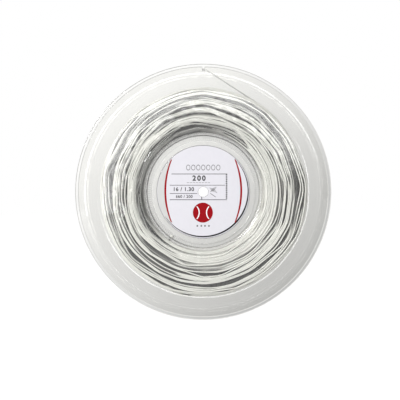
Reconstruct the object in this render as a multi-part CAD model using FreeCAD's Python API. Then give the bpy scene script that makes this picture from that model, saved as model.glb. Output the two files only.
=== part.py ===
import FreeCAD, Part

import math
import os

# A 200 m reel of racket string: two clear flanges snapped into a clear barrel, wound with one string.
# The reel's axis is Y. The front flange, with the front label, faces -Y, and +Z is the label's top.
# The origin is the centre of the spindle bore, halfway between the flanges. Millimetres.

# Driving dimensions
REEL_RADIUS = 132.5
STRING_SPACE = 16.0  # between the flanges' inner faces
STRING_DIAMETER = 1.3
COIL_RADIUS = 108.0  # outside of the wound string
BARREL_RADIUS = 61.8
BORE_RADIUS = 5.3
LABEL_RADIUS = 48.1
LABEL_HOLE_RADIUS = 5.5
LABEL_THICKNESS = 0.25
WALL = 1.6

# Flange: a flat web that flares out to a narrow flat crest, then falls back to the rim.
# Faces are heights above the middle plane
INNER_FACE = STRING_SPACE / 2
OUTER_FACE = INNER_FACE + WALL
FLARE_START = 108.0
CREST_START = 121.0
CREST_END = 123.6
CREST_FACE = OUTER_FACE + 2.4
RIM_FACE = CREST_FACE - 1.8
RIM_BACK = RIM_FACE - 1.9
FLARE_ROUND = 40.0
CREST_ROUND = 5.0
RIM_ROUND = 0.8

# The cup in the middle of each flange: a cone, a floor, a raised seat for the label,
# and a boss round the bore
CUP_TOP_RADIUS = 61.4
CUP_TOP = 9.2
CUP_FLOOR_RADIUS = 53.8
CUP_FLOOR = 3.6
CUP_WALL = 1.4
SEAT_RADIUS = 48.5
SEAT_FACE = 4.4
BOSS_RADIUS = 8.5
CONE_SLOPE = (CUP_TOP_RADIUS - CUP_FLOOR_RADIUS) / (CUP_TOP - CUP_FLOOR)
CONE_BACK_RADIUS = CUP_FLOOR_RADIUS + CUP_WALL * math.sqrt(1 + CONE_SLOPE**2)  # at the floor's height

# A low ridge round the cup's mouth
RIDGE_RADIUS = 66.3
RIDGE_END = 69.6
RIDGE_FACE = OUTER_FACE + 1.0
RIDGE_ROUND = 6.0
CUP_ROUND = 4.0

# A spigot behind each cup carries a bead, which snaps into a groove in the barrel
SPIGOT_RADIUS = 60.5
SPIGOT_WALL = 1.5
SPIGOT_END = 2.6
BEAD_RISE = 0.35
BEAD_NEAR = 3.3
BEAD_FAR = 4.85
FIT_GAP = 0.1
CORNER = 0.2

# The string's inner end is knotted inside the barrel. Angles are clockwise from the top,
# seen from the front
ANCHOR_ANGLE = 215.0
ANCHOR_HOLE_RADIUS = 0.9
KNOT_RADIUS = 1.7
KNOT_DEPTH = 4.5  # below the barrel's surface

# The wound string stands clear of the flanges, and more so next to the barrel
COIL_GAP = 0.15
COIL_TAPER = 2.0
COIL_TAPER_WIDTH = 12.0
COIL_ROUND = 0.8

# The outer end leaves the coil on a tangent and is held in a notch in the rear flange's rim
TAIL_ANGLE = 32.1
TAIL_START_RADIUS = COIL_RADIUS + STRING_DIAMETER / 2 + 0.05
TAIL_START_HEIGHT = 1.5
TAIL_ROUTE = [
    (10.6, 3.6, 123.3),
    (4.0, 4.8, 127.6),
    (0.7, 8.0, 129.9),
    (-0.2, 10.9, 130.3),
]
BEND_SHARE = 0.45  # of the shorter run beside a bend
NOTCH_X = 0.15
NOTCH_Z = 130.1
NOTCH_RADIUS = 1.15

AXIS = FreeCAD.Vector(0, 1, 0)
CENTRE = FreeCAD.Vector(0, 0, 0)


def around(angle, radius, height=0.0):
    # A point at that angle clockwise from the top, seen from the front
    turn = math.radians(angle)
    return FreeCAD.Vector(radius * math.sin(turn), height, radius * math.cos(turn))


def arc_at(before, here, after, cut):
    # The arc that rounds a corner, from cut before it to cut after it, and its radius
    back = (before - here).normalize()
    ahead = (after - here).normalize()
    half = back.getAngle(ahead) / 2
    radius = cut * math.tan(half)
    middle = here + (back + ahead).normalize() * (radius / math.sin(half) - radius)
    return Part.Arc(here + back * cut, middle, here + ahead * cut), radius


def outline(corners):
    # A closed wire through (radius, height, rounding) corners, with a tangent arc at each rounded one
    points = [FreeCAD.Vector(radius, height, 0) for radius, height, _ in corners]
    edges = []
    pen = None
    for i, (_, _, rounding) in enumerate(corners):
        before, here, after = points[i - 1], points[i], points[(i + 1) % len(points)]
        enter = leave = here
        if rounding:
            half = (before - here).getAngle(after - here) / 2
            arc, _ = arc_at(before, here, after, rounding / math.tan(half))
            enter, leave = arc.StartPoint, arc.EndPoint
        if pen:
            edges.append(Part.LineSegment(pen, enter).toShape())
        else:
            first = enter
        if rounding:
            edges.append(arc.toShape())
        pen = leave
    edges.append(Part.LineSegment(pen, first).toShape())
    return Part.Wire(edges)


def turned(corners):
    return Part.Face(outline(corners)).revolve(CENTRE, AXIS, 360)


def both_sides(half):
    # Corners on one side of the middle plane, followed by their mirror images
    return half + [(radius, -height, rounding) for radius, height, rounding in reversed(half)]


def cone_back_height(radius):
    # Height of the cup's back surface at a radius
    return CUP_FLOOR + (radius - CONE_BACK_RADIUS) / CONE_SLOPE


def cone_back_radius(height):
    return CONE_BACK_RADIUS + CONE_SLOPE * (height - CUP_FLOOR)


def flange():
    # One flange on the +Y side: outwards along its outer face, then back along its inner face
    shift = WALL * math.tan(math.atan2(CREST_FACE - OUTER_FACE, CREST_START - FLARE_START) / 2)
    spigot_inside = SPIGOT_RADIUS - SPIGOT_WALL
    floor_back = CUP_FLOOR - WALL
    seat_back = SEAT_FACE - WALL
    seat_back_radius = SEAT_RADIUS - WALL
    foot = 0.6  # height of the corner between floor and cone, on the back
    return turned([
        (BORE_RADIUS, SEAT_FACE, CORNER),
        (SEAT_RADIUS, SEAT_FACE, CORNER),
        (SEAT_RADIUS, CUP_FLOOR, CORNER),
        (CUP_FLOOR_RADIUS, CUP_FLOOR, 1.0),
        (CUP_TOP_RADIUS, CUP_TOP, CUP_ROUND),
        (RIDGE_RADIUS, RIDGE_FACE, RIDGE_ROUND),
        (RIDGE_END, OUTER_FACE, RIDGE_ROUND),
        (FLARE_START, OUTER_FACE, FLARE_ROUND),
        (CREST_START, CREST_FACE, CREST_ROUND),
        (CREST_END, CREST_FACE, CREST_ROUND),
        (REEL_RADIUS, RIM_FACE, RIM_ROUND),
        (REEL_RADIUS, RIM_BACK, RIM_ROUND),
        (CREST_END - shift, CREST_FACE - WALL, CREST_ROUND),
        (CREST_START + shift, CREST_FACE - WALL, CREST_ROUND),
        (FLARE_START + shift, INNER_FACE, FLARE_ROUND),
        (cone_back_radius(INNER_FACE), INNER_FACE, 0),
        (SPIGOT_RADIUS, cone_back_height(SPIGOT_RADIUS), 0),
        (SPIGOT_RADIUS, BEAD_FAR, 0),
        (SPIGOT_RADIUS + BEAD_RISE, BEAD_FAR - BEAD_RISE, 0),
        (SPIGOT_RADIUS + BEAD_RISE, BEAD_NEAR + BEAD_RISE, 0),
        (SPIGOT_RADIUS, BEAD_NEAR, 0),
        (SPIGOT_RADIUS, SPIGOT_END, CORNER),
        (spigot_inside, SPIGOT_END, CORNER),
        (spigot_inside, cone_back_height(spigot_inside), CORNER),
        (cone_back_radius(floor_back + foot), floor_back + foot, CORNER),
        (CUP_FLOOR_RADIUS, floor_back, CORNER),
        (seat_back_radius, floor_back, CORNER),
        (seat_back_radius, seat_back, CORNER),
        (BOSS_RADIUS, seat_back, CORNER),
        (BOSS_RADIUS, 0, CORNER),
        (BORE_RADIUS, 0, 0),
    ])


def front_flange():
    return flange().mirror(CENTRE, AXIS)


def rear_flange():
    notch = Part.makeCylinder(NOTCH_RADIUS, STRING_SPACE, FreeCAD.Vector(NOTCH_X, 0, NOTCH_Z), AXIS)
    slot = Part.makeBox(2 * NOTCH_RADIUS, STRING_SPACE, REEL_RADIUS - NOTCH_Z + 1,
                        FreeCAD.Vector(NOTCH_X - NOTCH_RADIUS, 0, NOTCH_Z))
    return flange().cut(notch.fuse(slot))


def hub_barrel():
    # The tube that the string is wound on. Its ends are coned to the backs of the cups
    bore = SPIGOT_RADIUS + FIT_GAP
    groove = bore + BEAD_RISE
    tube = turned(both_sides([
        (BARREL_RADIUS, cone_back_height(BARREL_RADIUS) - FIT_GAP, 0),
        (bore, cone_back_height(bore) - FIT_GAP, 0),
        (bore, BEAD_FAR + FIT_GAP, 0),
        (groove, BEAD_FAR - BEAD_RISE + FIT_GAP, 0),
        (groove, BEAD_NEAR + BEAD_RISE - FIT_GAP, 0),
        (bore, BEAD_NEAR - FIT_GAP, 0),
    ]))
    foot = around(ANCHOR_ANGLE, SPIGOT_RADIUS - SPIGOT_WALL)
    return tube.cut(Part.makeCylinder(ANCHOR_HOLE_RADIUS, BARREL_RADIUS, foot, around(ANCHOR_ANGLE, 1)))


def rear_label():
    # A printed paper disc
    foot = FreeCAD.Vector(0, SEAT_FACE, 0)
    disc = Part.makeCylinder(LABEL_RADIUS, LABEL_THICKNESS, foot, AXIS)
    return disc.cut(Part.makeCylinder(LABEL_HOLE_RADIUS, LABEL_THICKNESS, foot, AXIS))


def front_label():
    return rear_label().mirror(CENTRE, AXIS)


def string_coil():
    # The outer shape of the wound string
    side = INNER_FACE - COIL_GAP
    inside = BARREL_RADIUS + FIT_GAP / 2
    return turned(both_sides([
        (inside, side - COIL_TAPER, 0),
        (inside + COIL_TAPER_WIDTH, side, 0),
        (COIL_RADIUS, side, COIL_ROUND),
    ][::-1]))


def string_start():
    # The string's inner end: a knot inside the barrel, and the stretch through the anchor hole
    middle = around(ANCHOR_ANGLE, BARREL_RADIUS - KNOT_DEPTH)
    knot = Part.makeSphere(KNOT_RADIUS, middle)
    stretch = Part.makeCylinder(STRING_DIAMETER / 2, KNOT_DEPTH, middle, around(ANCHOR_ANGLE, 1))
    return knot.fuse(stretch)


def string_tail():
    # A round tube along straight runs joined by tangent arcs
    places = [around(TAIL_ANGLE, TAIL_START_RADIUS, TAIL_START_HEIGHT)]
    places += [FreeCAD.Vector(*place) for place in TAIL_ROUTE]
    edges = []
    radii = []
    pen = places[0]
    for before, here, after in zip(places, places[1:], places[2:]):
        cut = BEND_SHARE * min((before - here).Length, (after - here).Length)
        arc, radius = arc_at(before, here, after, cut)
        edges += [Part.LineSegment(pen, arc.StartPoint).toShape(), arc.toShape()]
        radii.append(round(radius, 1))
        pen = arc.EndPoint
    edges.append(Part.LineSegment(pen, places[-1]).toShape())
    path = Part.Wire(edges)
    section = Part.Wire([Part.makeCircle(STRING_DIAMETER / 2, places[0], places[1] - places[0])])
    tube = path.makePipeShell([section], True, False)
    share = tube.Volume / (math.pi * (STRING_DIAMETER / 2) ** 2 * path.Length)
    print("tail: bend radii", radii, "length", round(path.Length, 1), "volume share", round(share, 4))
    return tube


PIECES = [
    front_flange, rear_flange, hub_barrel, front_label, rear_label,
    string_coil, string_start, string_tail,
]


def main():
    os.makedirs("parts", exist_ok=True)
    for piece in PIECES:
        shape = piece()
        volume = round(shape.Volume, 1)
        print(piece.__name__, "valid", shape.isValid(), "solids", len(shape.Solids), "mm3", volume)
        shape.exportStep(os.path.join("parts", piece.__name__ + ".step"))


main()
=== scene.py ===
import math

import bpy
import numpy as np
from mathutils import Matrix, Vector


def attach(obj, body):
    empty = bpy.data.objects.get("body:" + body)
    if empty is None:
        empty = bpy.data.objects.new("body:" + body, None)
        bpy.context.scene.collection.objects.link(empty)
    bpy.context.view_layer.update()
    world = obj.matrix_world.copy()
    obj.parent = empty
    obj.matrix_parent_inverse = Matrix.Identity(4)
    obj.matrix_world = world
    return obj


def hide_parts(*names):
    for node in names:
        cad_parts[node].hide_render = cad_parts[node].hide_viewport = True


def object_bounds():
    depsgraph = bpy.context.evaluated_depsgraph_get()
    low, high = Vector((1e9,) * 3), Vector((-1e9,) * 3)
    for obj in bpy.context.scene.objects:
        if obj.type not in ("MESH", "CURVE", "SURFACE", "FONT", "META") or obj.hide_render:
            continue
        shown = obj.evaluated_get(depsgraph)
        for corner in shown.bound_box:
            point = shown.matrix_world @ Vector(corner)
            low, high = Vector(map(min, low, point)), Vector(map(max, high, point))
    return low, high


# A reel of racket string. It stands on its rims, its axis is Y, and the front label faces -Y.
# Sizes in the dictionaries are millimetres unless a note says otherwise; meshes are metres.

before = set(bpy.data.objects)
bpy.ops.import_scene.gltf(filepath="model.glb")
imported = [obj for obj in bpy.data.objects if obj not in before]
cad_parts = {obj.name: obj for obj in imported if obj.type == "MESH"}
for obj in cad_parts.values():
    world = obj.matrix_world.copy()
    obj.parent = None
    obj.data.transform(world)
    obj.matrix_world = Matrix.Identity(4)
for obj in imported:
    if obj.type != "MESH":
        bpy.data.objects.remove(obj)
cadLow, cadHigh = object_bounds()
scene = bpy.context.scene
scene.view_settings.view_transform = "Standard"
mm = 0.001
print("frame: nodes", len(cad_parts))


view = {
    "distance": 0.9,  # metres in front of the reel's middle plane
    "lens": 77.45,
    "sensor": 36,
    "shift": (-0.00815, -0.02035),
}


def addCamera():
    # Looks level along +Y, straight at the front label
    data = bpy.data.cameras.new("camera")
    data.lens = view["lens"]
    data.sensor_width = view["sensor"]
    data.shift_x, data.shift_y = view["shift"]
    camera = bpy.data.objects.new("camera", data)
    camera.location = (0, -view["distance"], 0)
    camera.rotation_euler = (math.radians(90), 0, 0)
    scene.collection.objects.link(camera)
    scene.camera = camera


addCamera()
print("camera placed")


def newMesh(name, points, faces, material, smooth=True):
    # points is an array of places in mm, faces a list of lists of corner numbers
    mesh = bpy.data.meshes.new(name)
    mesh.from_pydata((points.reshape(-1, 3) * mm).tolist(), [], faces)
    if smooth:
        mesh.polygons.foreach_set("use_smooth", np.ones(len(mesh.polygons), bool))
    mesh.materials.append(material)
    return mesh


def newObject(name, data):
    # A piece's place is in its own points, so its object stays at the origin, unturned
    thing = bpy.data.objects.new(name, data)
    scene.collection.objects.link(thing)
    return thing


def coverNode(name, material):
    # Gives a CAD node a finish
    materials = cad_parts[name].data.materials
    materials.clear()
    materials.append(material)


def gridFaces(rows, columns, closeRows=False, closeColumns=False):
    # The four corners of each cell of a grid, whose last row or column may join the first
    row = np.arange(rows if closeRows else rows - 1)[:, None]
    column = np.arange(columns if closeColumns else columns - 1)[None, :]
    nextRow = (row + 1) % rows
    nextColumn = (column + 1) % columns
    corners = [row * columns + column, nextRow * columns + column,
               nextRow * columns + nextColumn, row * columns + nextColumn]
    return np.stack(np.broadcast_arrays(*corners), -1).reshape(-1, 4)


def unit(vectors):
    # Each vector divided by its length
    return vectors / np.linalg.norm(vectors, axis=-1, keepdims=True)


def smoothStep(low, high, value):
    # 0 below low, 1 above high, and 3t^2 - 2t^3 between them
    t = np.clip((value - low) / (high - low), 0, 1)
    return t * t * (3 - 2 * t)


def smoothNoise(random, count, spacing):
    # Random heights from -1 to 1 every spacing samples, joined by half cosines
    knots = random.uniform(-1, 1, count // spacing + 3)
    place = np.arange(count) / spacing + random.uniform(0, 1)
    low = place.astype(int)
    share = (1 - np.cos(np.pi * (place - low))) / 2
    return knots[low] * (1 - share) + knots[low + 1] * share


def feed(tree, socket, value):
    # Joins a socket to another node's output, or sets it to a plain value
    if isinstance(value, bpy.types.NodeSocket):
        tree.links.new(value, socket)
    else:
        socket.default_value = value


def newNode(tree, kind, values=None, **settings):
    # values go to the node's sockets, settings to the node itself
    node = tree.nodes.new(kind)
    for name, value in settings.items():
        setattr(node, name, value)
    for name, value in (values or {}).items():
        feed(tree, node.inputs[name], value)
    return node


def compute(tree, operation, *values):
    # One step of arithmetic on numbers
    return newNode(tree, "ShaderNodeMath", dict(enumerate(values)), operation=operation).outputs[0]


def computeVector(tree, operation, *values):
    # One step on vectors. Lengths and dot products come from the second output
    node = newNode(tree, "ShaderNodeVectorMath", dict(enumerate(values)), operation=operation)
    return node.outputs["Value" if operation in ["LENGTH", "DOT_PRODUCT"] else "Vector"]


def ramp(tree, value, fromMin, fromMax, toMin=0.0, toMax=1.0, **settings):
    # value from fromMin to fromMax becomes toMin to toMax, and is held at them outside
    return newNode(tree, "ShaderNodeMapRange", {
        "Value": value, "From Min": fromMin, "From Max": fromMax, "To Min": toMin, "To Max": toMax,
    }, **settings).outputs[0]


def newMaterial(name):
    # A Principled shader joined to the surface
    material = bpy.data.materials.new(name)
    material.use_nodes = True
    tree = material.node_tree
    tree.nodes.clear()
    shader = newNode(tree, "ShaderNodeBsdfPrincipled")
    output = newNode(tree, "ShaderNodeOutputMaterial")
    tree.links.new(shader.outputs["BSDF"], output.inputs["Surface"])
    return material, tree, shader, output


def newGroup(name, inputs, outputs):
    # inputs are (name, kind, value), and every output is a number
    group = bpy.data.node_groups.new(name, "ShaderNodeTree")
    for socketName, kind, value in inputs:
        socket = group.interface.new_socket(socketName, in_out="INPUT", socket_type=kind)
        if value is not None:
            socket.default_value = value
    for socketName in outputs:
        group.interface.new_socket(socketName, in_out="OUTPUT", socket_type="NodeSocketFloat")
    start = newNode(group, "NodeGroupInput")
    end = newNode(group, "NodeGroupOutput")
    return group, start, end


def useGroup(tree, group, values):
    # A group placed in a material with its own values, read at the piece's own coordinates
    place = newNode(tree, "ShaderNodeTexCoord").outputs["Object"]
    return newNode(tree, "ShaderNodeGroup", {"Vector": place, **values}, node_tree=group)


def makeScuffGroup():
    # Fine hoops round the Y axis, as a reel gets when it rubs while it turns: noise read at
    # (angle x a little, radius x a lot), kept where a second, broad noise is high
    group, start, end = newGroup("turningScuffs", [
        ("Vector", "NodeSocketVector", None),
        ("Hoops", "NodeSocketFloat", 900.0),
        ("Amount", "NodeSocketFloat", 0.5),
    ], ["Mask", "Height"])
    place = start.outputs["Vector"]
    apart = newNode(group, "ShaderNodeSeparateXYZ", {0: place}).outputs
    angle = compute(group, "ARCTAN2", apart["X"], apart["Z"])
    radius = computeVector(group, "LENGTH", computeVector(group, "MULTIPLY", place, (1, 0, 1)))
    hoops = compute(group, "MULTIPLY", radius, start.outputs["Hoops"])
    polar = newNode(group, "ShaderNodeCombineXYZ", {"X": angle, "Y": hoops, "Z": apart["Y"]}).outputs[0]
    fine = newNode(group, "ShaderNodeTexNoise",
                   {"Vector": polar, "Scale": 1.0, "Detail": 3.0, "Roughness": 0.7}).outputs["Fac"]
    broad = newNode(group, "ShaderNodeTexNoise",
                    {"Vector": place, "Scale": 38.0, "Detail": 4.0, "Roughness": 0.6}).outputs["Fac"]
    both = compute(group, "MULTIPLY", ramp(group, fine, 0.6, 0.74), ramp(group, broad, 0.42, 0.68))
    mask = compute(group, "MULTIPLY", both, start.outputs["Amount"])
    feed(group, end.inputs["Mask"], mask)
    feed(group, end.inputs["Height"], compute(group, "MULTIPLY", mask, -1.0))
    return group


def makeGrainGroup():
    # Two sizes of noise: Tone drifts slowly round 0.5, and Height is fine tooth
    group, start, end = newGroup("surfaceGrain", [
        ("Vector", "NodeSocketVector", None),
        ("Fine", "NodeSocketFloat", 2500.0),
        ("Broad", "NodeSocketFloat", 60.0),
    ], ["Tone", "Height"])
    place = start.outputs["Vector"]
    fine = newNode(group, "ShaderNodeTexNoise",
                   {"Vector": place, "Scale": start.outputs["Fine"], "Detail": 3.0, "Roughness": 0.65})
    broad = newNode(group, "ShaderNodeTexNoise",
                    {"Vector": place, "Scale": start.outputs["Broad"], "Detail": 4.0, "Roughness": 0.55})
    feed(group, end.inputs["Tone"], broad.outputs["Fac"])
    feed(group, end.inputs["Height"], fine.outputs["Fac"])
    return group


def makeDustGroup():
    # Specks: the nearness of scattered cell centres, cut to small dots, thinned by broad noise
    group, start, end = newGroup("dustSpecks", [
        ("Vector", "NodeSocketVector", None),
        ("Scale", "NodeSocketFloat", 450.0),
        ("Size", "NodeSocketFloat", 0.12),
    ], ["Mask"])
    place = start.outputs["Vector"]
    cells = newNode(group, "ShaderNodeTexVoronoi", {"Vector": place, "Scale": start.outputs["Scale"]},
                    feature="F1").outputs["Distance"]
    patches = newNode(group, "ShaderNodeTexNoise",
                      {"Vector": place, "Scale": 30.0, "Detail": 2.0}).outputs["Fac"]
    near = compute(group, "LESS_THAN", cells, start.outputs["Size"])
    feed(group, end.inputs["Mask"], compute(group, "MULTIPLY", near, ramp(group, patches, 0.5, 0.75)))
    return group


scuffs = makeScuffGroup()
grain = makeGrainGroup()
dust = makeDustGroup()


def mixColours(tree, share, first, second):
    # first x (1 - share) + second x share
    colours = {"Factor": share, 6: (*first, 1), 7: (*second, 1)}
    return newNode(tree, "ShaderNodeMix", colours, data_type="RGBA").outputs[2]


def mixShaders(tree, share, first, second, output):
    # first x (1 - share) + second x share, to the surface
    mix = newNode(tree, "ShaderNodeMixShader", {0: share, 1: first.outputs[0], 2: second.outputs[0]})
    feed(tree, output.inputs["Surface"], mix.outputs[0])


def addBump(tree, height, strength, distance, under=None):
    # Bends the normal by a height, on top of another bump's normal if there is one
    values = {"Strength": strength, "Distance": distance, "Height": height}
    if under is not None:
        values["Normal"] = under
    return newNode(tree, "ShaderNodeBump", values).outputs[0]


clearLook = {
    "tint": (0.93, 0.928, 0.913),
    "ior": 1.59,
    "roughness": (0.015, 0.22),  # where it is smooth, and where it is scuffed
    "shadowTint": (0.87, 0.87, 0.85),
}


def clearPlastic():
    # Glass whose roughness goes from smooth to scuffed by the larger of scuffs and specks, with a slow
    # ripple as moulded walls have
    material, tree, shader, output = newMaterial("clearPlastic")
    shader.inputs["Base Color"].default_value = (*clearLook["tint"], 1)
    shader.inputs["IOR"].default_value = clearLook["ior"]
    shader.inputs["Transmission Weight"].default_value = 1
    marks = useGroup(tree, scuffs, {"Hoops": 1100.0, "Amount": 0.8})
    specks = useGroup(tree, dust, {"Scale": 420.0, "Size": 0.1})
    flow = useGroup(tree, grain, {"Fine": 24.0, "Broad": 9.0})
    worn = compute(tree, "MAXIMUM", marks.outputs["Mask"], specks.outputs["Mask"])
    feed(tree, shader.inputs["Roughness"], ramp(tree, worn, 0.0, 1.0, *clearLook["roughness"]))
    ripple = addBump(tree, flow.outputs["Height"], 0.35, 0.0006)
    feed(tree, shader.inputs["Normal"], addBump(tree, marks.outputs["Height"], 0.3, 0.00004, ripple))
    # Lamps and soft light reach what is behind the plastic
    path = newNode(tree, "ShaderNodeLightPath").outputs
    either = compute(tree, "MAXIMUM", path["Is Shadow Ray"], path["Is Diffuse Ray"])
    through = newNode(tree, "ShaderNodeBsdfTransparent", {"Color": (*clearLook["shadowTint"], 1)})
    mixShaders(tree, either, shader, through, output)
    return material


stringLook = {
    "pale": (0.93, 0.93, 0.92),
    "dull": (0.85, 0.85, 0.83),
    "freeEnd": 0.6,  # brightness of the free end: painted shade, since it is lit from behind, makes it darker than the coil
    "deep": 0.05,  # the share of its brightness that a string keeps at full painted shade
    "ior": 1.5,
    "roughness": (0.2, 0.32),
}


def stringPlastic(name, shaded, brightness=1.0):
    # Tone drifts from dull to pale. The coil also gets painted shade from its mesh's own shade attribute:
    # colour x (1 - shade x (1 - deep))
    material, tree, shader, _ = newMaterial(name)
    body = useGroup(tree, grain, {"Fine": 1400.0, "Broad": 110.0}).outputs
    dull, pale = [[level * brightness for level in stringLook[end]] for end in ["dull", "pale"]]
    colour = mixColours(tree, body["Tone"], dull, pale)
    if shaded:
        # The painted shade, read from the mesh's shade attribute
        depth = newNode(tree, "ShaderNodeAttribute", attribute_name="shade", attribute_type="GEOMETRY")
        left = ramp(tree, depth.outputs["Fac"], 0.0, 1.0, 1.0, stringLook["deep"])
        values = {0: colour, "Scale": left}
        colour = newNode(tree, "ShaderNodeVectorMath", values, operation="SCALE").outputs[0]
    feed(tree, shader.inputs["Base Color"], colour)
    feed(tree, shader.inputs["Roughness"], ramp(tree, body["Tone"], 0.0, 1.0, *stringLook["roughness"]))
    feed(tree, shader.inputs["Normal"], addBump(tree, body["Height"], 0.2, 0.00005))
    shader.inputs["IOR"].default_value = stringLook["ior"]
    return material


paperLook = {
    "roughness": (0.38, 0.5),
    "finishes": {  # pale colour, dull colour, gloss
        "labelPaper": ((0.64, 0.63, 0.67), (0.6, 0.59, 0.63), 0.5),
        "redInk": ((0.3, 0.001, 0.006), (0.24, 0.001, 0.004), 0.12),
        "blackInk": ((0.02, 0.02, 0.02), (0.012, 0.012, 0.012), 0.12),
        "greyInk": ((0.16, 0.16, 0.16), (0.12, 0.12, 0.12), 0.2),
        "paleInk": ((0.86, 0.86, 0.88), (0.82, 0.82, 0.85), 0.5),
        # painted shade, for the label's left crescent
        "paintedShadeInk": ((0.56, 0.56, 0.55), (0.5, 0.5, 0.49), 0.5),
    },
}


def printedPaper(name, pale, dull, gloss):
    # Coated paper or ink on it: fibres show as faint tooth and a slow drift of tone
    material, tree, shader, _ = newMaterial(name)
    body = useGroup(tree, grain, {"Fine": 3200.0, "Broad": 240.0}).outputs
    feed(tree, shader.inputs["Base Color"], mixColours(tree, body["Tone"], dull, pale))
    feed(tree, shader.inputs["Roughness"], ramp(tree, body["Tone"], 0.0, 1.0, *paperLook["roughness"]))
    shader.inputs["Specular IOR Level"].default_value = gloss
    feed(tree, shader.inputs["Normal"], addBump(tree, body["Height"], 0.25, 0.00003))
    return material


plastic = clearPlastic()
stringFinish = stringPlastic("stringPlastic", False)
# The free end's finish is a darker copy of the string's, with painted shade
shadedFreeEndFinish = stringPlastic("shadedFreeEndPlastic", False, stringLook["freeEnd"])
coilFinish = stringPlastic("coiledStringPlastic", True)
papers = {name: printedPaper(name, *look) for name, look in paperLook["finishes"].items()}
print("materials made")


tail = {  # metres
    "diameter": 0.0013,
    "length": 0.0726,
    "route": [
        (0.05776, 0.0015, 0.09208),
        (0.0106, 0.0036, 0.1233),
        (0.0040, 0.0048, 0.1276),
        (0.0007, 0.0080, 0.1299),
        (-0.0002, 0.0109, 0.1303),
    ],
}


def makeTail():
    # A round cord along a smooth curve that these points pull on
    curve = bpy.data.curves.new("string_free_end", "CURVE")
    curve.dimensions = "3D"
    curve.bevel_depth = tail["diameter"] / 2
    curve.bevel_resolution = 4
    curve.resolution_u = 16
    curve.use_fill_caps = True
    spline = curve.splines.new("NURBS")
    spline.points.add(len(tail["route"]) - 1)
    for point, place in zip(spline.points, tail["route"]):
        point.co = (*place, 1)
    spline.order_u = 3
    spline.use_endpoint_u = True
    curve.materials.append(shadedFreeEndFinish)
    piece = newObject("string_free_end", curve)
    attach(piece, "root")
    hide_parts("string_tail")


makeTail()
print("free end made")


winding = {
    "seed": 11,
    "stringRadius": 0.65,
    "layRadius": 0.608,  # half the spacing that strings are laid at; under stringRadius, so they overlap
    "barrelRadius": 61.8,
    "startAngle": 215.0,  # degrees clockwise from the top, seen from the front
    "endAngle": 32.1,
    "endRadius": 108.7,
    "endHeight": 1.5,
    "turns": 378,  # whole turns; the way from the start angle to the end angle is added
    "samples": 240,  # laid places in a turn
    "block": 173,  # places laid at a time
    "pitch": 1.5,  # sideways travel in a turn
    "pitchDrift": 0.1,
    "pitchRun": 330,  # samples between one pitch and another
    "slide": 1.0,  # furthest that the string slips sideways into a hollow
    "slips": 11,  # how many slips are tried
    "slipCost": 0.2,
    "stretch": 15,  # samples that a slip is averaged over
    "spans": (30, 18, 9, 4, 2, 1),  # samples to each side that the string is pulled straight over
    "pulls": 3,
    "reach": 7.2,  # furthest that the string's middle goes to a side
    "reachDrift": 1.8,
    "reachRun": 300,  # samples between one reach and another
    "dwell": 1.05,  # over 1, the string rests against a flange before it turns back
    "wander": 0.25,
    "wanderRun": 37,
    "columns": 159,
    "halfWidth": 7.9,
    "stiffness": 4,  # samples over which a bend is spread
    "shadeDepths": (0.7, 1.5),  # painted shade: strings between these depths in the coil are painted from light to dark
    "dimRun": 40,  # samples between one random height and another, for the random stretches of painted shade
    "dimEdges": (0.66, 0.76),
    "dimDepths": (0.5, 2.0),
    "dimShade": 0.95,
    "lowShade": 0.8,  # painted shade beside the barrel, on the side of the coil away from the light, round lowAngle
    "lowRadii": (67.0, 75.0),  # it fades out between these radii
    "lowAngle": 307.0,
    "lowSides": (-0.2, 0.6),
    "lit": 0.9,  # the share of the painted shade taken off beside the barrel, round litAngle: painted light on the side towards the lamp
    "litRadii": (74.0, 82.0),
    "litAngle": 134.0,
    "litSides": (0.1, 0.8),
    "meshStep": 2,
    "sides": 8,
    "pieces": 6,
    "uvLength": 100,  # of string to one unit of its map
    "outside": 400,  # mesh places that the printed outside radius is averaged over
}


def sidewaysRoute(random, last, count):
    # A triangle wave across the reel, clipped so that it dwells at each side. Its speed, its reach and
    # its line all drift
    pitch = winding["pitch"] * (1 + winding["pitchDrift"] * smoothNoise(random, count, winding["pitchRun"]))
    travel = np.cumsum(pitch) / winding["samples"]
    width = 2 * winding["reach"] * winding["dwell"]
    wave = 4 * np.abs((travel / (2 * width) + 0.25) % 1 - 0.5) - 1
    drift = (1 + smoothNoise(random, count, winding["reachRun"])) / 2
    reach = winding["reach"] - winding["reachDrift"] * drift
    route = np.clip(-wave * winding["dwell"], -1, 1) * reach
    route += winding["wander"] * smoothNoise(random, count, winding["wanderRun"])
    route = np.clip(route, -winding["reach"], winding["reach"])
    ending = smoothStep(last - winding["samples"] // 2, last - 1, np.arange(count))
    return route * (1 - ending) + winding["endHeight"] * ending


def pullTight(radius, fixed):
    # A taut string is nowhere below the straight line between two of its places. Seen from the axis at
    # equal angles a to both sides, that line is at 2 p q cos(a) / (p + q)
    held = radius[:fixed].copy()
    step = 2 * math.pi / winding["samples"]
    for reach in winding["spans"] * winding["pulls"]:
        before, after = radius[:-2 * reach], radius[2 * reach:]
        line = 2 * before * after * math.cos(reach * step) / (before + after)
        radius[reach:-reach] = np.maximum(radius[reach:-reach], line)
        radius[:fixed] = held
    return radius


def bandUnder(across, route):
    # The columns of the pile under a string, how far aside each is, and a round string's rise over it,
    # sqrt(thick^2 - aside^2)
    thick = winding["layRadius"]
    gap = across[1] - across[0]
    near = np.arange(-int(thick / gap) - 1, int(thick / gap) + 2)
    column = np.rint((route - across[0]) / gap).astype(int)[:, None] + near[None, :]
    column = np.clip(column, 0, winding["columns"] - 1)
    aside = across[column] - route[:, None]
    return column, aside, np.sqrt(np.maximum(thick ** 2 - aside ** 2, 0))


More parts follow.
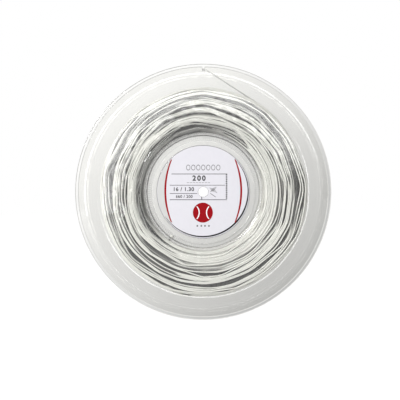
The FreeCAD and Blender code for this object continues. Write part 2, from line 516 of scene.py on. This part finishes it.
def findHollow(pile, across, angle, route):
    # Of several slips aside, the one whose support, averaged over a stretch of string, is lowest
    slips = np.linspace(-winding["slide"], winding["slide"], winding["slips"])
    spread = np.hanning(winding["stretch"])
    spread /= spread.sum()
    margin = winding["stretch"] // 2
    costs = []
    for slip in slips:
        there = np.clip(route + slip, -winding["reach"], winding["reach"])
        column, aside, rise = bandUnder(across, there)
        support = np.where(np.abs(aside) < winding["layRadius"], pile[angle[:, None], column] + rise, 0)
        height = np.convolve(np.pad(support.max(1), margin, mode="edge"), spread, "valid")
        costs.append(height + winding["slipCost"] * slip ** 2)
    best = slips[np.argmin(costs, 0)]
    return np.convolve(np.pad(best, margin, mode="edge"), spread, "valid")


def layString():
    # Turn after turn, the string rests on the highest string under it or on the barrel, and is pulled
    # tight. The pile is the height that the string has reached, over angle and across the reel. The
    # last eighth of a turn isn't laid: it is raised to endRadius, where the free end starts
    random = np.random.default_rng(winding["seed"])
    samples = winding["samples"]
    part = (winding["startAngle"] - winding["endAngle"]) / 360
    count = int(round((winding["turns"] + part) * samples)) + 1
    route = sidewaysRoute(random, count, count + 2 * samples)
    thick = winding["layRadius"]
    across = np.linspace(-winding["halfWidth"], winding["halfWidth"], winding["columns"])
    pile = np.full((samples, winding["columns"]), winding["barrelRadius"])
    radius = np.zeros(len(route))
    quarter = samples // 4
    block = winding["block"]
    carried = 0.0
    for first in range(0, count, block):
        window = np.arange(max(first - quarter, 0), first + block + quarter)
        fixed = first - window[0]
        laid = slice(fixed, fixed + block)
        angle = window % samples
        blend = smoothStep(fixed, fixed + samples // 12, np.arange(len(window)))
        slip = carried * (1 - blend) + findHollow(pile, across, angle, route[window]) * blend
        carried = slip[fixed + block - 1]
        aim = np.clip(route[window] + slip, -winding["reach"], winding["reach"])
        aim[:fixed] = route[window[:fixed]]
        route[window[laid]] = aim[laid]
        column, aside, rise = bandUnder(across, aim)
        line = np.where(np.abs(aside) < thick, pile[angle[:, None], column] + rise, 0).max(1)
        line[:fixed] = radius[window[:fixed]]
        line = pullTight(line, fixed)
        radius[window[laid]] = line[laid]
        rows, places = angle[laid][:, None], column[laid]
        top = np.where(np.abs(aside[laid]) < thick, line[laid][:, None] + rise[laid], 0)
        pile[rows, places] = np.maximum(pile[rows, places], top)
    radius, route = radius[:count], route[:count]
    ending = smoothStep(count - samples // 8, count - 1, np.arange(count))
    radius = radius * (1 - ending) + winding["endRadius"] * ending
    bend = np.hanning(2 * winding["stiffness"] + 1)
    padded = np.pad(radius, winding["stiffness"], mode="edge")
    radius = np.convolve(padded, bend / bend.sum(), "valid")
    turn = np.radians(winding["startAngle"] - np.arange(count) * 360 / samples)
    path = np.stack([radius * np.sin(turn), route, radius * np.cos(turn)], -1)
    return path, paintShade(random, pile, across, radius, route, turn)


def paintShade(random, pile, across, radius, route, turn):
    # How much painted shade each place has, 0 to 1. First painted shade by its depth in the coil, which is
    # the way to the coil's outside or to the nearer flange, if that is less
    count = len(route)
    nearest = np.rint((route - across[0]) / (across[1] - across[0])).astype(int)
    nearest = np.clip(nearest, 0, len(across) - 1)
    over = pile[np.arange(count) % winding["samples"], nearest] - radius
    depth = np.minimum(over, winding["halfWidth"] - np.abs(route)) - winding["stringRadius"]
    shade = smoothStep(*winding["shadeDepths"], depth)
    # Then painted shade in random stretches deep in the coil, wherever a smooth noise is high
    dim = smoothStep(*winding["dimEdges"], smoothNoise(random, count, winding["dimRun"]))
    shade = np.maximum(shade, winding["dimShade"] * dim * smoothStep(*winding["dimDepths"], over))
    # Painted shade beside the barrel, on the side away from the light
    shade = np.maximum(shade, winding["lowShade"] * besideBarrel("low", radius, turn))
    # Painted light beside the barrel, on the side towards the lamp, takes painted shade off
    return shade * (1 - winding["lit"] * besideBarrel("lit", radius, turn))


def besideBarrel(part, radius, turn):
    # 1 near the barrel and round an angle: a fade over radius x a fade over cos(turn - angle)
    near = 1 - smoothStep(*winding[part + "Radii"], radius)
    return near * smoothStep(*winding[part + "Sides"], np.cos(turn - math.radians(winding[part + "Angle"])))


def tube(path, thick, sides):
    # Rings round a path, in the plane across it: cos(a) outwards from the axis, sin(a) sideways
    ahead = unit(np.gradient(path, axis=0))
    outward = path * (1, 0, 1)
    outward = unit(outward - (outward * ahead).sum(-1, keepdims=True) * ahead)
    side = np.cross(ahead, outward)
    a = np.arange(sides) * 2 * math.pi / sides
    ring = np.cos(a)[None, :, None] * outward[:, None, :] + np.sin(a)[None, :, None] * side[:, None, :]
    return path[:, None, :] + thick * ring


def makeWinding():
    # One tube, cut into pieces that meet at flat caps. Its map runs along the string and round it
    path, shade = [values[::winding["meshStep"]] for values in layString()]
    run = np.linalg.norm(np.diff(path, axis=0), axis=1)
    outer = path[-winding["outside"]:]
    outsideRadius = float(np.hypot(outer[:, 0], outer[:, 2]).mean())
    print("string laid:", round(run.sum() / 1000, 1), "m, outside radius", round(outsideRadius, 2))
    along = np.concatenate([[0], np.cumsum(run)])
    sides = winding["sides"]
    cuts = np.linspace(0, len(path) - 1, winding["pieces"] + 1).astype(int)
    rings = tube(path, winding["stringRadius"], sides)
    for number, (first, last) in enumerate(zip(cuts, cuts[1:]), 1):
        rows = last - first + 1
        quads = gridFaces(rows, sides, closeColumns=True)[:, ::-1]
        fan = np.arange(1, sides - 1)
        startCap = np.stack([0 * fan, fan + 1, fan], -1)
        endCap = startCap[:, ::-1] + (rows - 1) * sides
        faces = quads.tolist() + startCap.tolist() + endCap.tolist()
        cell = np.indices((rows - 1, sides)).reshape(2, -1)
        low = along[first:last + 1][cell[0]]
        high = along[first:last + 1][cell[0] + 1]
        near, far = cell[1] / sides, (cell[1] + 1) / sides
        uv = np.stack([np.stack([low, far], -1), np.stack([high, far], -1),
                       np.stack([high, near], -1), np.stack([low, near], -1)], 1)
        uv = np.concatenate([uv.reshape(-1, 2), np.zeros((6 * len(fan), 2))])
        uv[:, 0] /= winding["uvLength"]
        shades = np.repeat(shade[first:last + 1], sides)
        makeWindingPiece("string_turns_" + str(number), rings[first:last + 1], faces, uv, shades)


def makeWindingPiece(name, points, faces, uv, shades):
    # uv has a place for each corner of each face, shades the painted shade for each point
    mesh = newMesh(name, points, faces, coilFinish)
    mesh.uv_layers.new(name="UVMap").uv.foreach_set("vector", uv.astype(np.float32).ravel())
    mesh.attributes.new("shade", "FLOAT", "POINT").data.foreach_set("value", shades.astype(np.float32))
    piece = newObject(name, mesh)
    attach(piece, "root")
    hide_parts("string_coil")


makeWinding()
print("winding made")


flange = {
    "middle": 8.0,  # inner face's height above the middle plane
    "wall": 1.6,
    "bore": 5.3,
    "boss": 8.5,
    "seatRadius": 48.5,
    "seatHeight": 4.4,
    "floorRadius": 53.8,
    "floorHeight": 3.6,
    "mouthRadius": 61.4,
    "mouthHeight": 9.2,
    "ridgeRadius": 66.3,
    "ridgeEnd": 69.6,
    "ridgeRise": 1.0,
    "flareRadius": 108.0,
    "crestRadius": (121.0, 123.6),
    "crestRise": 2.4,
    "rimRadius": 132.5,
    "rimDrop": 1.8,
    "rimWall": 1.9,
    "spigotRadius": 60.5,
    "spigotWall": 1.5,
    "spigotEnd": 2.6,
    "cupWall": 1.4,
    "cupStep": 0.6,  # height at which the back of the cup's cone meets its floor
    "floorRounding": 1.0,
    "mouthRounding": 4.0,
    "ridgeRounding": 6.0,
    "flareRounding": 40.0,
    "crestRounding": 5.0,
    "rimRounding": 0.8,
    "corner": 0.2,  # rounding of the small corners
    "sharpCorner": 0.1,
    "flatCorner": 0.5,  # below this rounding, an arc is one straight cut
    "arcTurn": 0.3,  # radians in a step of an arc
    "arcStep": 1.6,
    "conePlaces": 10,  # extra places up the cup's cone, where the ribs are
    "coneEnd": 1.2,
    "ribs": 166,
    "ribDepth": 0.28,
    "ribStart": (0.3, 1.2),  # the ribs rise between these ways out from the floor
    "ribEnd": (1.9, 0.9),  # and sink between these ways in from the mouth
    "coneFacing": 0.3,
    "columns": 996,
    "notchPlace": (0.15, 130.1),
    "notchRadius": 1.15,
    "notchEdge": 0.12,
    "notchRoot": 1.5,  # the rim is pressed in from this far past the crest
    "notchColumns": 0.35,  # columns crowd to this share of their spacing at the notch
    "notchSpread": 0.35,  # radians over which the spacing grows back
}


def flangeCorners():
    # (radius, height, rounding, extra places on the way to the next corner), the outer face first
    names = ["wall", "middle", "bore", "seatRadius", "seatHeight", "floorRadius", "floorHeight"]
    wall, middle, bore, seatRadius, seatHeight, floorRadius, floorHeight = [flange[name] for name in names]
    names = ["flareRadius", "crestRadius", "rimRadius", "spigotRadius", "spigotEnd"]
    flareRadius, (crestIn, crestOut), rimRadius, spigotRadius, spigotEnd = [flange[name] for name in names]
    outer = middle + wall
    crest = outer + flange["crestRise"]
    rim = crest - flange["rimDrop"]
    mouthRadius, mouthHeight = flange["mouthRadius"], flange["mouthHeight"]
    slope = (mouthRadius - floorRadius) / (mouthHeight - floorHeight)
    backRadius = floorRadius + flange["cupWall"] * math.hypot(1, slope)
    flareAngle = math.atan2(flange["crestRise"], crestIn - flareRadius)
    shift = wall * math.tan(flareAngle / 2)
    spigotInside = spigotRadius - flange["spigotWall"]
    floorBack = floorHeight - wall
    seatBack = seatHeight - wall
    seatBackRadius = seatRadius - wall
    stepHeight = floorBack + flange["cupStep"]
    corner, sharp = flange["corner"], flange["sharpCorner"]
    ridge, flare = flange["ridgeRounding"], flange["flareRounding"]
    crestRound, rimRound = flange["crestRounding"], flange["rimRounding"]

    def backHeight(radius):
        return floorHeight + (radius - backRadius) / slope

    def backAt(height):
        return backRadius + slope * (height - floorHeight)

    return [
        (bore, seatHeight, corner, 0),
        (seatRadius, seatHeight, corner, 0),
        (seatRadius, floorHeight, corner, 0),
        (floorRadius, floorHeight, flange["floorRounding"], flange["conePlaces"]),
        (mouthRadius, mouthHeight, flange["mouthRounding"], 0),
        (flange["ridgeRadius"], outer + flange["ridgeRise"], ridge, 0),
        (flange["ridgeEnd"], outer, ridge, 0),
        (flareRadius, outer, flare, 0),
        (crestIn, crest, crestRound, 0),
        (crestOut, crest, crestRound, 0),
        (rimRadius, rim, rimRound, 0),
        (rimRadius, rim - flange["rimWall"], rimRound, 0),
        (crestOut - shift, crest - wall, crestRound, 0),
        (crestIn + shift, crest - wall, crestRound, 0),
        (flareRadius + shift, middle, flare, 0),
        (backAt(middle), middle, sharp, 0),
        (spigotRadius, backHeight(spigotRadius), sharp, 0),
        (spigotRadius, spigotEnd, corner, 0),
        (spigotInside, spigotEnd, corner, 0),
        (spigotInside, backHeight(spigotInside), corner, 0),
        (backAt(stepHeight), stepHeight, corner, 0),
        (floorRadius, floorBack, corner, 0),
        (seatBackRadius, floorBack, corner, 0),
        (seatBackRadius, seatBack, corner, 0),
        (flange["boss"], seatBack, corner, 0),
        (flange["boss"], 0, corner, 0),
        (bore, 0, sharp, 0),
    ]


def roundedProfile(corners):
    # Places and directions of travel round a closed outline. Each corner is an arc that touches both of
    # its sides, and the direction turns evenly along it
    places, headings = [], []
    count = len(corners)
    for i, (x, y, rounding, extra) in enumerate(corners):
        here = np.array([x, y])
        back = unit(np.array(corners[i - 1][:2]) - here)
        ahead = unit(np.array(corners[(i + 1) % count][:2]) - here)
        half = math.acos(float(np.clip(back @ ahead, -1, 1))) / 2
        start = math.atan2(-back[1], -back[0])
        turn = (math.atan2(ahead[1], ahead[0]) - start + math.pi) % (2 * math.pi) - math.pi
        middle = here + unit(back + ahead) * rounding / math.sin(half)
        wanted = max(2, round(abs(turn) / flange["arcTurn"]), round(abs(turn) * rounding / flange["arcStep"]))
        steps = 1 if rounding < flange["flatCorner"] else wanted
        heading = start + turn * np.linspace(0, 1, steps + 1)
        left = np.stack([-np.sin(heading), np.cos(heading)], -1)
        arc = middle - np.sign(turn) * rounding * left
        places += list(arc)
        headings += list(heading)
        if extra:
            there = np.array(corners[(i + 1) % count][:2]) - ahead * flange["coneEnd"]
            share = np.linspace(0, 1, extra + 2)[1:-1, None]
            run = arc[-1] * (1 - share) + there * share
            places += list(run)
            headings += [heading[-1]] * extra
    return np.array(places), np.array(headings)


def notchBottom(angle):
    # How far out the rear rim reaches at an angle: down to a round-bottomed slot where the string leaves,
    # z - sqrt(wide^2 - aside^2)
    x, z = flange["notchPlace"]
    wide, edge = flange["notchRadius"], flange["notchEdge"]
    aside = angle * z - x
    depth = z - np.sqrt(np.maximum(wide ** 2 - aside ** 2, 0))
    inside = 1 - smoothStep(wide - edge, wide + edge, np.abs(aside))
    return flange["rimRadius"] * (1 - inside) + depth * inside


def makeFlange(name, node, side, notched):
    # The outline turned round Y. Ribs raise the cup's cone by depth x (1 - cos(ribs x angle)) / 2, and
    # in the notch the rim is pressed in towards its crest
    profile, heading = roundedProfile(flangeCorners())
    columns = flange["columns"]
    angle = (np.arange(columns) / columns - 0.5) * 2 * math.pi
    if notched:
        close = flange["notchColumns"]
        angle = angle * (close + (1 - close) * smoothStep(0, flange["notchSpread"], np.abs(angle)))
    radius, height = profile[:, 0][None, :], profile[:, 1][None, :]
    along = np.stack([np.cos(heading), np.sin(heading)], -1)
    normal = np.stack([-along[:, 1], along[:, 0]], -1)
    onCone = (normal[:, 1] > flange["coneFacing"]) & (normal[:, 0] < -flange["coneFacing"])
    inside = [flange["floorRadius"] + way for way in flange["ribStart"]]
    outside = [flange["mouthRadius"] - way for way in flange["ribEnd"]]
    mask = smoothStep(*inside, profile[:, 0]) * (1 - smoothStep(*outside, profile[:, 0])) * onCone
    rib = (1 - np.cos(flange["ribs"] * angle)) / 2
    rise = flange["ribDepth"] * mask[None, :] * rib[:, None]
    distance = np.concatenate([[0], np.cumsum(np.linalg.norm(np.diff(profile, axis=0), axis=1))])
    slope = np.gradient(rise, distance, axis=1)
    r = radius + rise * normal[:, 0]
    h = height + rise * normal[:, 1]
    alongR = along[:, 0] + slope * normal[:, 0]
    alongH = along[:, 1] + slope * normal[:, 1]
    if notched:
        base = flange["crestRadius"][1] + flange["notchRoot"]
        press = (notchBottom(angle)[:, None] - base) / (flange["rimRadius"] - base)
        outer = r > base
        alongR = np.where(outer, alongR * press, alongR)
        r = np.where(outer, base + (r - base) * press, r)
    sine, cosine = np.sin(angle)[:, None], np.cos(angle)[:, None]
    points = np.stack([r * sine, side * h, r * cosine], -1)
    alongProfile = np.stack([alongR * sine, side * alongH, alongR * cosine], -1)
    alongTurn = np.roll(points, -1, 0) - np.roll(points, 1, 0)
    normals = unit(np.cross(alongTurn, alongProfile)) * -side
    faces = gridFaces(columns, len(profile), closeRows=True, closeColumns=True)
    if side > 0:
        faces = faces[:, ::-1]
    print(name, "profile places", len(profile))
    mesh = newMesh(name, points, faces.tolist(), plastic)
    mesh.normals_split_custom_set_from_vertices(normals.reshape(-1, 3).tolist())
    piece = newObject(name, mesh)
    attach(piece, "root")
    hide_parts(node)


makeFlange("front_flange_moulding", "front_flange", -1, False)
makeFlange("rear_flange_moulding", "rear_flange", 1, True)
coverNode("hub_barrel", plastic)
coverNode("string_start", stringFinish)
print("flanges made")


label = {
    "face": 4.65,  # height of the paper's face above the middle plane
    "radius": 48.1,
    "ink": 0.03,  # how far most print stands out
    "sunk": 0.01,  # how far print goes into the paper
    "letterHeight": 0.7,  # a figure's height in the built-in font, for a size of 1
    "curveSteps": 6,
    "strokePlaces": 49,
    "discPlaces": 41,
    "discEnd": 0.02,  # radians left out at each end of a disc
}

# Places on the labels are (right, up) from the middle. A width that is a pair is its ends' and its middle's
artwork = {
    "arcRadius": 86.0,
    "arcMiddle": 39.5,
    "arcRise": 1.0,
    "arcHalf": 32.6,
    "arcWidth": (1.1, 2.0),
    "arcInk": 0.045,
    "edgeFrom": -31.8,
    "edgeTo": 33.4,
    "edgePlaces": 61,
    "edgeMargin": 0.4,
    "edgeInk": 0.02,
    "ball": (-0.4, -21.6),
    "ballRadius": 10.4,
    "ballInk": 0.035,
    "seams": [((-13.6, -21.6), 47, 133), ((12.8, -21.6), -47, -133)],  # middle, from angle, to angle
    "seamRadius": 9.4,
    "seamWidth": (0.9, 1.1),
    "seamInk": 0.05,
    "dots": (18.9, -7.4, -1.9),  # first, last and step upwards
    "dotRight": 24.2,
    "dotLength": 1.2,
    "dotWidth": 1.5,
    "rules": [  # start, end, width
        ((-33.0, 18.6), (24.6, 18.6), 0.6),
        ((-34.8, 6.9), (22.6, 6.9), 0.5),
        ((-34.8, -1.7), (-6.2, -1.7), 0.5),
        ((-34.8, -8.2), (24.6, -8.2), 0.6),
        ((-1.6, -5.2), (-1.6, -8.0), 0.7),
    ],
    "gap": ((-0.35, 0.5), 47.1, 44, 236, (0.3, 1.7)),  # painted shadow at the paper's raised lower right edge: middle, radius, from angle, to angle, width
    "numbers": [  # text, height, middle, weight, spacing
        ("200", 5.2, (-4.4, 14.0), 0.24, 1.35),
        ("16 / 1.30", 3.9, (-20.6, 2.6), 0.12, 1.1),
        ("660 / 200", 2.9, (-19.8, -4.9), 0.08, 1.1),
    ],
    "hoops": (-15.6, 16.0, 5.2),  # first, last and step to the right
    "hoopShape": (25.3, 2.6, 0.7, 0.72),  # height, radius, width and squash
    "dashes": (-17.0, 7.0, 3.1),
    "dashShape": (9.6, 2.3, 0.4),  # height, length and width
    "net": [  # start, end, step from one to the next, how many, width
        ((6.8, 4.4), (9.6, 0.4), (1.5, -0.5), 4, 0.42),
        ((7.2, 0.2), (11.4, 1.58), (0.8, 1.1), 4, 0.42),
        ((7.4, -1.6), (13.0, -5.4), (0, 0), 1, 0.6),
    ],
    "signs": [(-6.2, -35.4), (-2.0, -35.4), (1.8, -35.4), (5.9, -35.4)],
    "signRadius": 0.95,
}


def strip(left, right, thick):
    # A flat printed shape between two edges, as a closed sheet: four long sides, from thick above the
    # paper to a little under its face, and two ends
    rows = len(left)
    front = np.full((rows, 1), thick)
    back = np.full((rows, 1), -label["sunk"])
    section = np.stack([np.hstack([left, front]), np.hstack([right, front]),
                        np.hstack([right, back]), np.hstack([left, back])], 1)
    faces = gridFaces(rows, 4, closeColumns=True)[:, ::-1]
    ends = np.array([[3, 2, 1, 0], [4 * rows - 4, 4 * rows - 3, 4 * rows - 2, 4 * rows - 1]])
    return section.reshape(-1, 3), np.concatenate([faces, ends])


def bar(start, end, width):
    # A straight stroke: its line moved half its width to each side
    start, end = np.array(start, float), np.array(end, float)
    ahead = unit(end - start)
    side = np.array([-ahead[1], ahead[0]]) * width / 2
    line = np.stack([start, end])
    return strip(line + side, line - side, label["ink"])


def arcStroke(middle, radius, fromAngle, toAngle, width, thick=label["ink"], squash=1.0):
    # A stroke along part of an ellipse, (squash x sin(a), cos(a)) x (radius +- half its width)
    t = np.linspace(0, 1, label["strokePlaces"])
    a = np.radians(fromAngle + (toAngle - fromAngle) * t)
    ray = np.stack([np.sin(a) * squash, np.cos(a)], -1)
    ends, centre = width if isinstance(width, tuple) else (width, width)
    half = ((ends + (centre - ends) * np.sin(np.pi * t)) / 2)[:, None]
    middle = np.array(middle, float)
    return strip(middle + ray * (radius + half), middle + ray * (radius - half), thick)


def disc(middle, radius, thick=label["ink"]):
    # Slices of a circle: at x, from -sqrt(r^2 - x^2) to +sqrt(r^2 - x^2)
    a = np.linspace(label["discEnd"], math.pi - label["discEnd"], label["discPlaces"])
    x, z = -np.cos(a) * radius, np.sin(a) * radius
    middle = np.array(middle, float)
    return strip(middle + np.stack([x, z], -1), middle + np.stack([x, -z], -1), thick)


def shadedCrescent():
    # Painted shade on the label, between the left red arc and the label's edge, each as far out as sqrt(r^2 -
    # z^2) from its middle
    z = np.linspace(artwork["edgeFrom"], artwork["edgeTo"], artwork["edgePlaces"])
    rise = z - artwork["arcRise"]
    arc = artwork["arcMiddle"] - artwork["arcRadius"] + np.sqrt(artwork["arcRadius"] ** 2 - rise ** 2)
    edge = np.sqrt(np.maximum(label["radius"] ** 2 - z ** 2, 0)) - artwork["edgeMargin"]
    edge = np.maximum(edge, arc + artwork["edgeInk"])
    return strip(np.stack([-edge, z], -1), np.stack([-arc, z], -1), artwork["edgeInk"])


def figures(text, height, place, weight, spacing):
    # Numbers from the built-in font, centred on place and made a mesh
    curve = bpy.data.curves.new("figures", "FONT")
    curve.body = text
    curve.size = height / label["letterHeight"]
    curve.offset = weight
    curve.space_character = spacing
    curve.align_x = "CENTER"
    curve.align_y = "CENTER"
    curve.extrude = label["ink"] / 2
    curve.resolution_u = label["curveSteps"]
    maker = newObject("figures", curve)
    shape = bpy.data.meshes.new_from_object(maker.evaluated_get(bpy.context.evaluated_depsgraph_get()))
    points = np.zeros(len(shape.vertices) * 3)
    shape.vertices.foreach_get("co", points)
    points = points.reshape(-1, 3) + (place[0], place[1], label["ink"] / 2)
    faces = [list(face.vertices) for face in shape.polygons]
    bpy.data.objects.remove(maker)
    bpy.data.meshes.remove(shape)
    bpy.data.curves.remove(curve)
    return points, faces


def printOn(name, shapes, side, ink):
    # Lays flat shapes, (right, up, out), on a label and joins them into one piece
    points, faces, count = [], [], 0
    for shapePoints, shapeFaces in shapes:
        right, up, out = np.asarray(shapePoints).T
        points.append(np.stack([-side * right, side * (label["face"] + out), up], -1))
        faces += [[corner + count for corner in face] for face in np.asarray(shapeFaces, object).tolist()]
        count += len(right)
    piece = newObject(name, newMesh(name, np.concatenate(points), faces, ink, smooth=False))
    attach(piece, "root")


def redShapes():
    # An arc near each side, and a ball
    shapes = []
    span = math.degrees(math.asin(artwork["arcHalf"] / artwork["arcRadius"]))
    for side in [-1, 1]:
        middle = (side * (artwork["arcMiddle"] - artwork["arcRadius"]), artwork["arcRise"])
        angles = side * (90 - span), side * (90 + span)
        look = artwork["arcWidth"], artwork["arcInk"]
        shapes.append(arcStroke(middle, artwork["arcRadius"], *angles, *look))
    shapes.append(disc(artwork["ball"], artwork["ballRadius"], artwork["ballInk"]))
    return shapes


def paleShapes():
    # The ball's two seams
    radius, width, ink = artwork["seamRadius"], artwork["seamWidth"], artwork["seamInk"]
    return [arcStroke(middle, radius, *angles, width, ink) for middle, *angles in artwork["seams"]]


def blackShapes():
    # A rule of short dashes, ruled lines, a dark line of painted shadow at the paper's lower right edge, and
    # numbers
    right, length = artwork["dotRight"], artwork["dotLength"]
    dots = [bar((right, z), (right, z - length), artwork["dotWidth"]) for z in np.arange(*artwork["dots"])]
    lines = [bar(*rule) for rule in artwork["rules"]]
    # Painted shadow along the paper's lower right edge, in black ink
    lines.append(arcStroke(*artwork["gap"]))
    return dots + lines + [figures(*number) for number in artwork["numbers"]]


def greyShapes():
    # A row of rings, a row of dashes, a small net and four dots
    height, radius, width, squash = artwork["hoopShape"]
    places = np.arange(*artwork["hoops"])
    hoops = [arcStroke((x, height), radius, 0, 360, width, squash=squash) for x in places]
    height, length, width = artwork["dashShape"]
    dashes = [bar((x, height), (x + length, height), width) for x in np.arange(*artwork["dashes"])]
    net = []
    for start, end, step, count, width in artwork["net"]:
        shifts = np.arange(count)[:, None] * step
        net += [bar(start + shift, end + shift, width) for shift in shifts]
    signs = [disc(place, artwork["signRadius"]) for place in artwork["signs"]]
    return hoops + dashes + net + signs


def printLabels():
    # The same print on both labels
    for word, side in [("front", -1), ("rear", 1)]:
        printOn(word + "_print_red", redShapes(), side, papers["redInk"])
        printOn(word + "_print_pale", paleShapes(), side, papers["paleInk"])
        # Painted shade on the label's left crescent
        printOn(word + "_print_painted_shade", [shadedCrescent()], side, papers["paintedShadeInk"])
        printOn(word + "_print_black", blackShapes(), side, papers["blackInk"])
        printOn(word + "_print_grey", greyShapes(), side, papers["greyInk"])
        coverNode(word + "_label", papers["labelPaper"])


printLabels()
print("labels printed")


studio = {  # metres, and levels where white is 1
    "floorRadius": 4.0,
    "floorGrid": (24, 96),  # rings, and places round each
    "floorMiddle": 0.02,
    "floorTones": ((0.84, 0.84, 0.84), (0.88, 0.88, 0.88)),
    "floorRoughness": 0.8,
    "floorGlow": 0.9,  # the share of the floor that glows, for the camera
    "floorLevel": 1.06,
    "darkWay": (0.65, 0.0, -0.76),  # the direction in which the studio is darkest, low on the right
    "brightSide": 0.8,
    "darkSide": 0.15,
    "sideEdges": (-0.05, 0.3),
    "backdrop": (1.1, 0.43),  # its levels on the bright side and the dark side
    "backdropEdges": (-0.13, 0.2),
    "backdropReach": (0.85, 0.96),  # how straight to the back a ray goes, where the backdrop comes in
    "backdropElsewhere": 0.85,
    "veilWay": (-0.39, 0.0, 0.92),  # the middle direction of the bright arc that shows in the plastic
    "veilSides": (-0.35, 0.25),
    "veilEdges": (0.088, 0.108, 0.135, 0.165),  # where the arc starts, is full, begins to fade and ends
    "veil": 3.5,
    "keyPlace": (-1.07, -1.05, 0.8),
    "keySize": 0.7,
    "keyPower": 24.0,
}


def makeWorld():
    # Not a real room: what a ray finds depends on its kind. The camera sees white, a ray through the
    # plastic sees a backdrop that fades towards the dark side, and light falls from the bright side
    world = bpy.data.worlds.new("studio")
    scene.world = world
    world.use_nodes = True
    tree = world.node_tree
    tree.nodes.clear()
    way = newNode(tree, "ShaderNodeTexCoord").outputs["Generated"]
    towards = computeVector(tree, "DOT_PRODUCT", way, studio["darkWay"])
    ahead = newNode(tree, "ShaderNodeSeparateXYZ", {0: way}).outputs["Y"]
    path = newNode(tree, "ShaderNodeLightPath").outputs

    def choose(share, first, second):
        return newNode(tree, "ShaderNodeMix", {0: share, 2: first, 3: second}, data_type="FLOAT").outputs[0]

    backdrop = ramp(tree, towards, *studio["backdropEdges"], *studio["backdrop"])
    behind = ramp(tree, ahead, *studio["backdropReach"])
    backdrop = choose(behind, studio["backdropElsewhere"], backdrop)
    around = ramp(tree, towards, *studio["sideEdges"], studio["brightSide"], studio["darkSide"])
    level = choose(path["Is Transmission Ray"], around, backdrop)
    level = choose(path["Is Camera Ray"], level, 1.0)
    # The arc lies round the direction straight to the front, on the side of veilWay, for reflections only
    tilt = computeVector(tree, "MULTIPLY", way, (1, 0, 1))
    lean = computeVector(tree, "LENGTH", tilt)
    share = computeVector(tree, "DOT_PRODUCT", computeVector(tree, "NORMALIZE", tilt), studio["veilWay"])
    starts, full, fades, ends = studio["veilEdges"]
    arc = path["Is Glossy Ray"]
    for source, low, high in [(share, *studio["veilSides"]), (lean, starts, full), (lean, ends, fades)]:
        step = ramp(tree, source, low, high, interpolation_type="SMOOTHSTEP")
        arc = compute(tree, "MULTIPLY", step, arc)
    front = compute(tree, "MULTIPLY", compute(tree, "LESS_THAN", ahead, 0.0), arc)
    total = compute(tree, "MULTIPLY_ADD", front, studio["veil"], level)
    background = newNode(tree, "ShaderNodeBackground", {"Color": (1, 1, 1, 1), "Strength": total})
    newNode(tree, "ShaderNodeOutputWorld", {"Surface": background.outputs[0]})


def makeFloor():
    # A flat round sheet of rings that widen outwards, at the height that the reel stands on. The camera
    # sees mostly a plain glow, so shadows on it are nearly gone, and the plastic shows the backdrop instead
    ringCount, places = studio["floorGrid"]
    rings = np.linspace(studio["floorMiddle"], 1, ringCount)[:, None] ** 2 * studio["floorRadius"]
    a = np.arange(places)[None, :] * 2 * math.pi / places
    points = np.stack([rings * np.cos(a), rings * np.sin(a), np.full_like(rings * a, cadLow.z)], -1)
    faces = gridFaces(ringCount, places, closeColumns=True).tolist() + [list(range(places))]
    mesh = bpy.data.meshes.new("floor")
    mesh.from_pydata(points.reshape(-1, 3).tolist(), [], faces)
    material, tree, shader, output = newMaterial("floorPaper")
    body = useGroup(tree, grain, {"Fine": 300.0, "Broad": 3.0})
    tone = mixColours(tree, body.outputs["Tone"], *studio["floorTones"])
    feed(tree, shader.inputs["Base Color"], tone)
    shader.inputs["Roughness"].default_value = studio["floorRoughness"]
    path = newNode(tree, "ShaderNodeLightPath").outputs
    glow = newNode(tree, "ShaderNodeEmission", {"Color": (1, 1, 1, 1), "Strength": studio["floorLevel"]})
    seen = ramp(tree, path["Is Camera Ray"], 0.0, 1.0, 0.0, studio["floorGlow"])
    mixShaders(tree, seen, shader, glow, output)
    mesh.materials.append(material)
    floor = newObject("floor", mesh)
    floor.visible_transmission = False


def makeKeyLight():
    # A soft square lamp, up on the left in front, that faces the reel
    data = bpy.data.lights.new("key_light", "AREA")
    data.shape = "SQUARE"
    data.size = studio["keySize"]
    data.energy = studio["keyPower"]
    light = newObject("key_light", data)
    light.location = studio["keyPlace"]
    light.rotation_euler = Vector(studio["keyPlace"]).to_track_quat("Z", "Y").to_euler()
    light.visible_camera = False
    light.visible_transmission = False


makeWorld()
makeFloor()
makeKeyLight()
print("studio made")
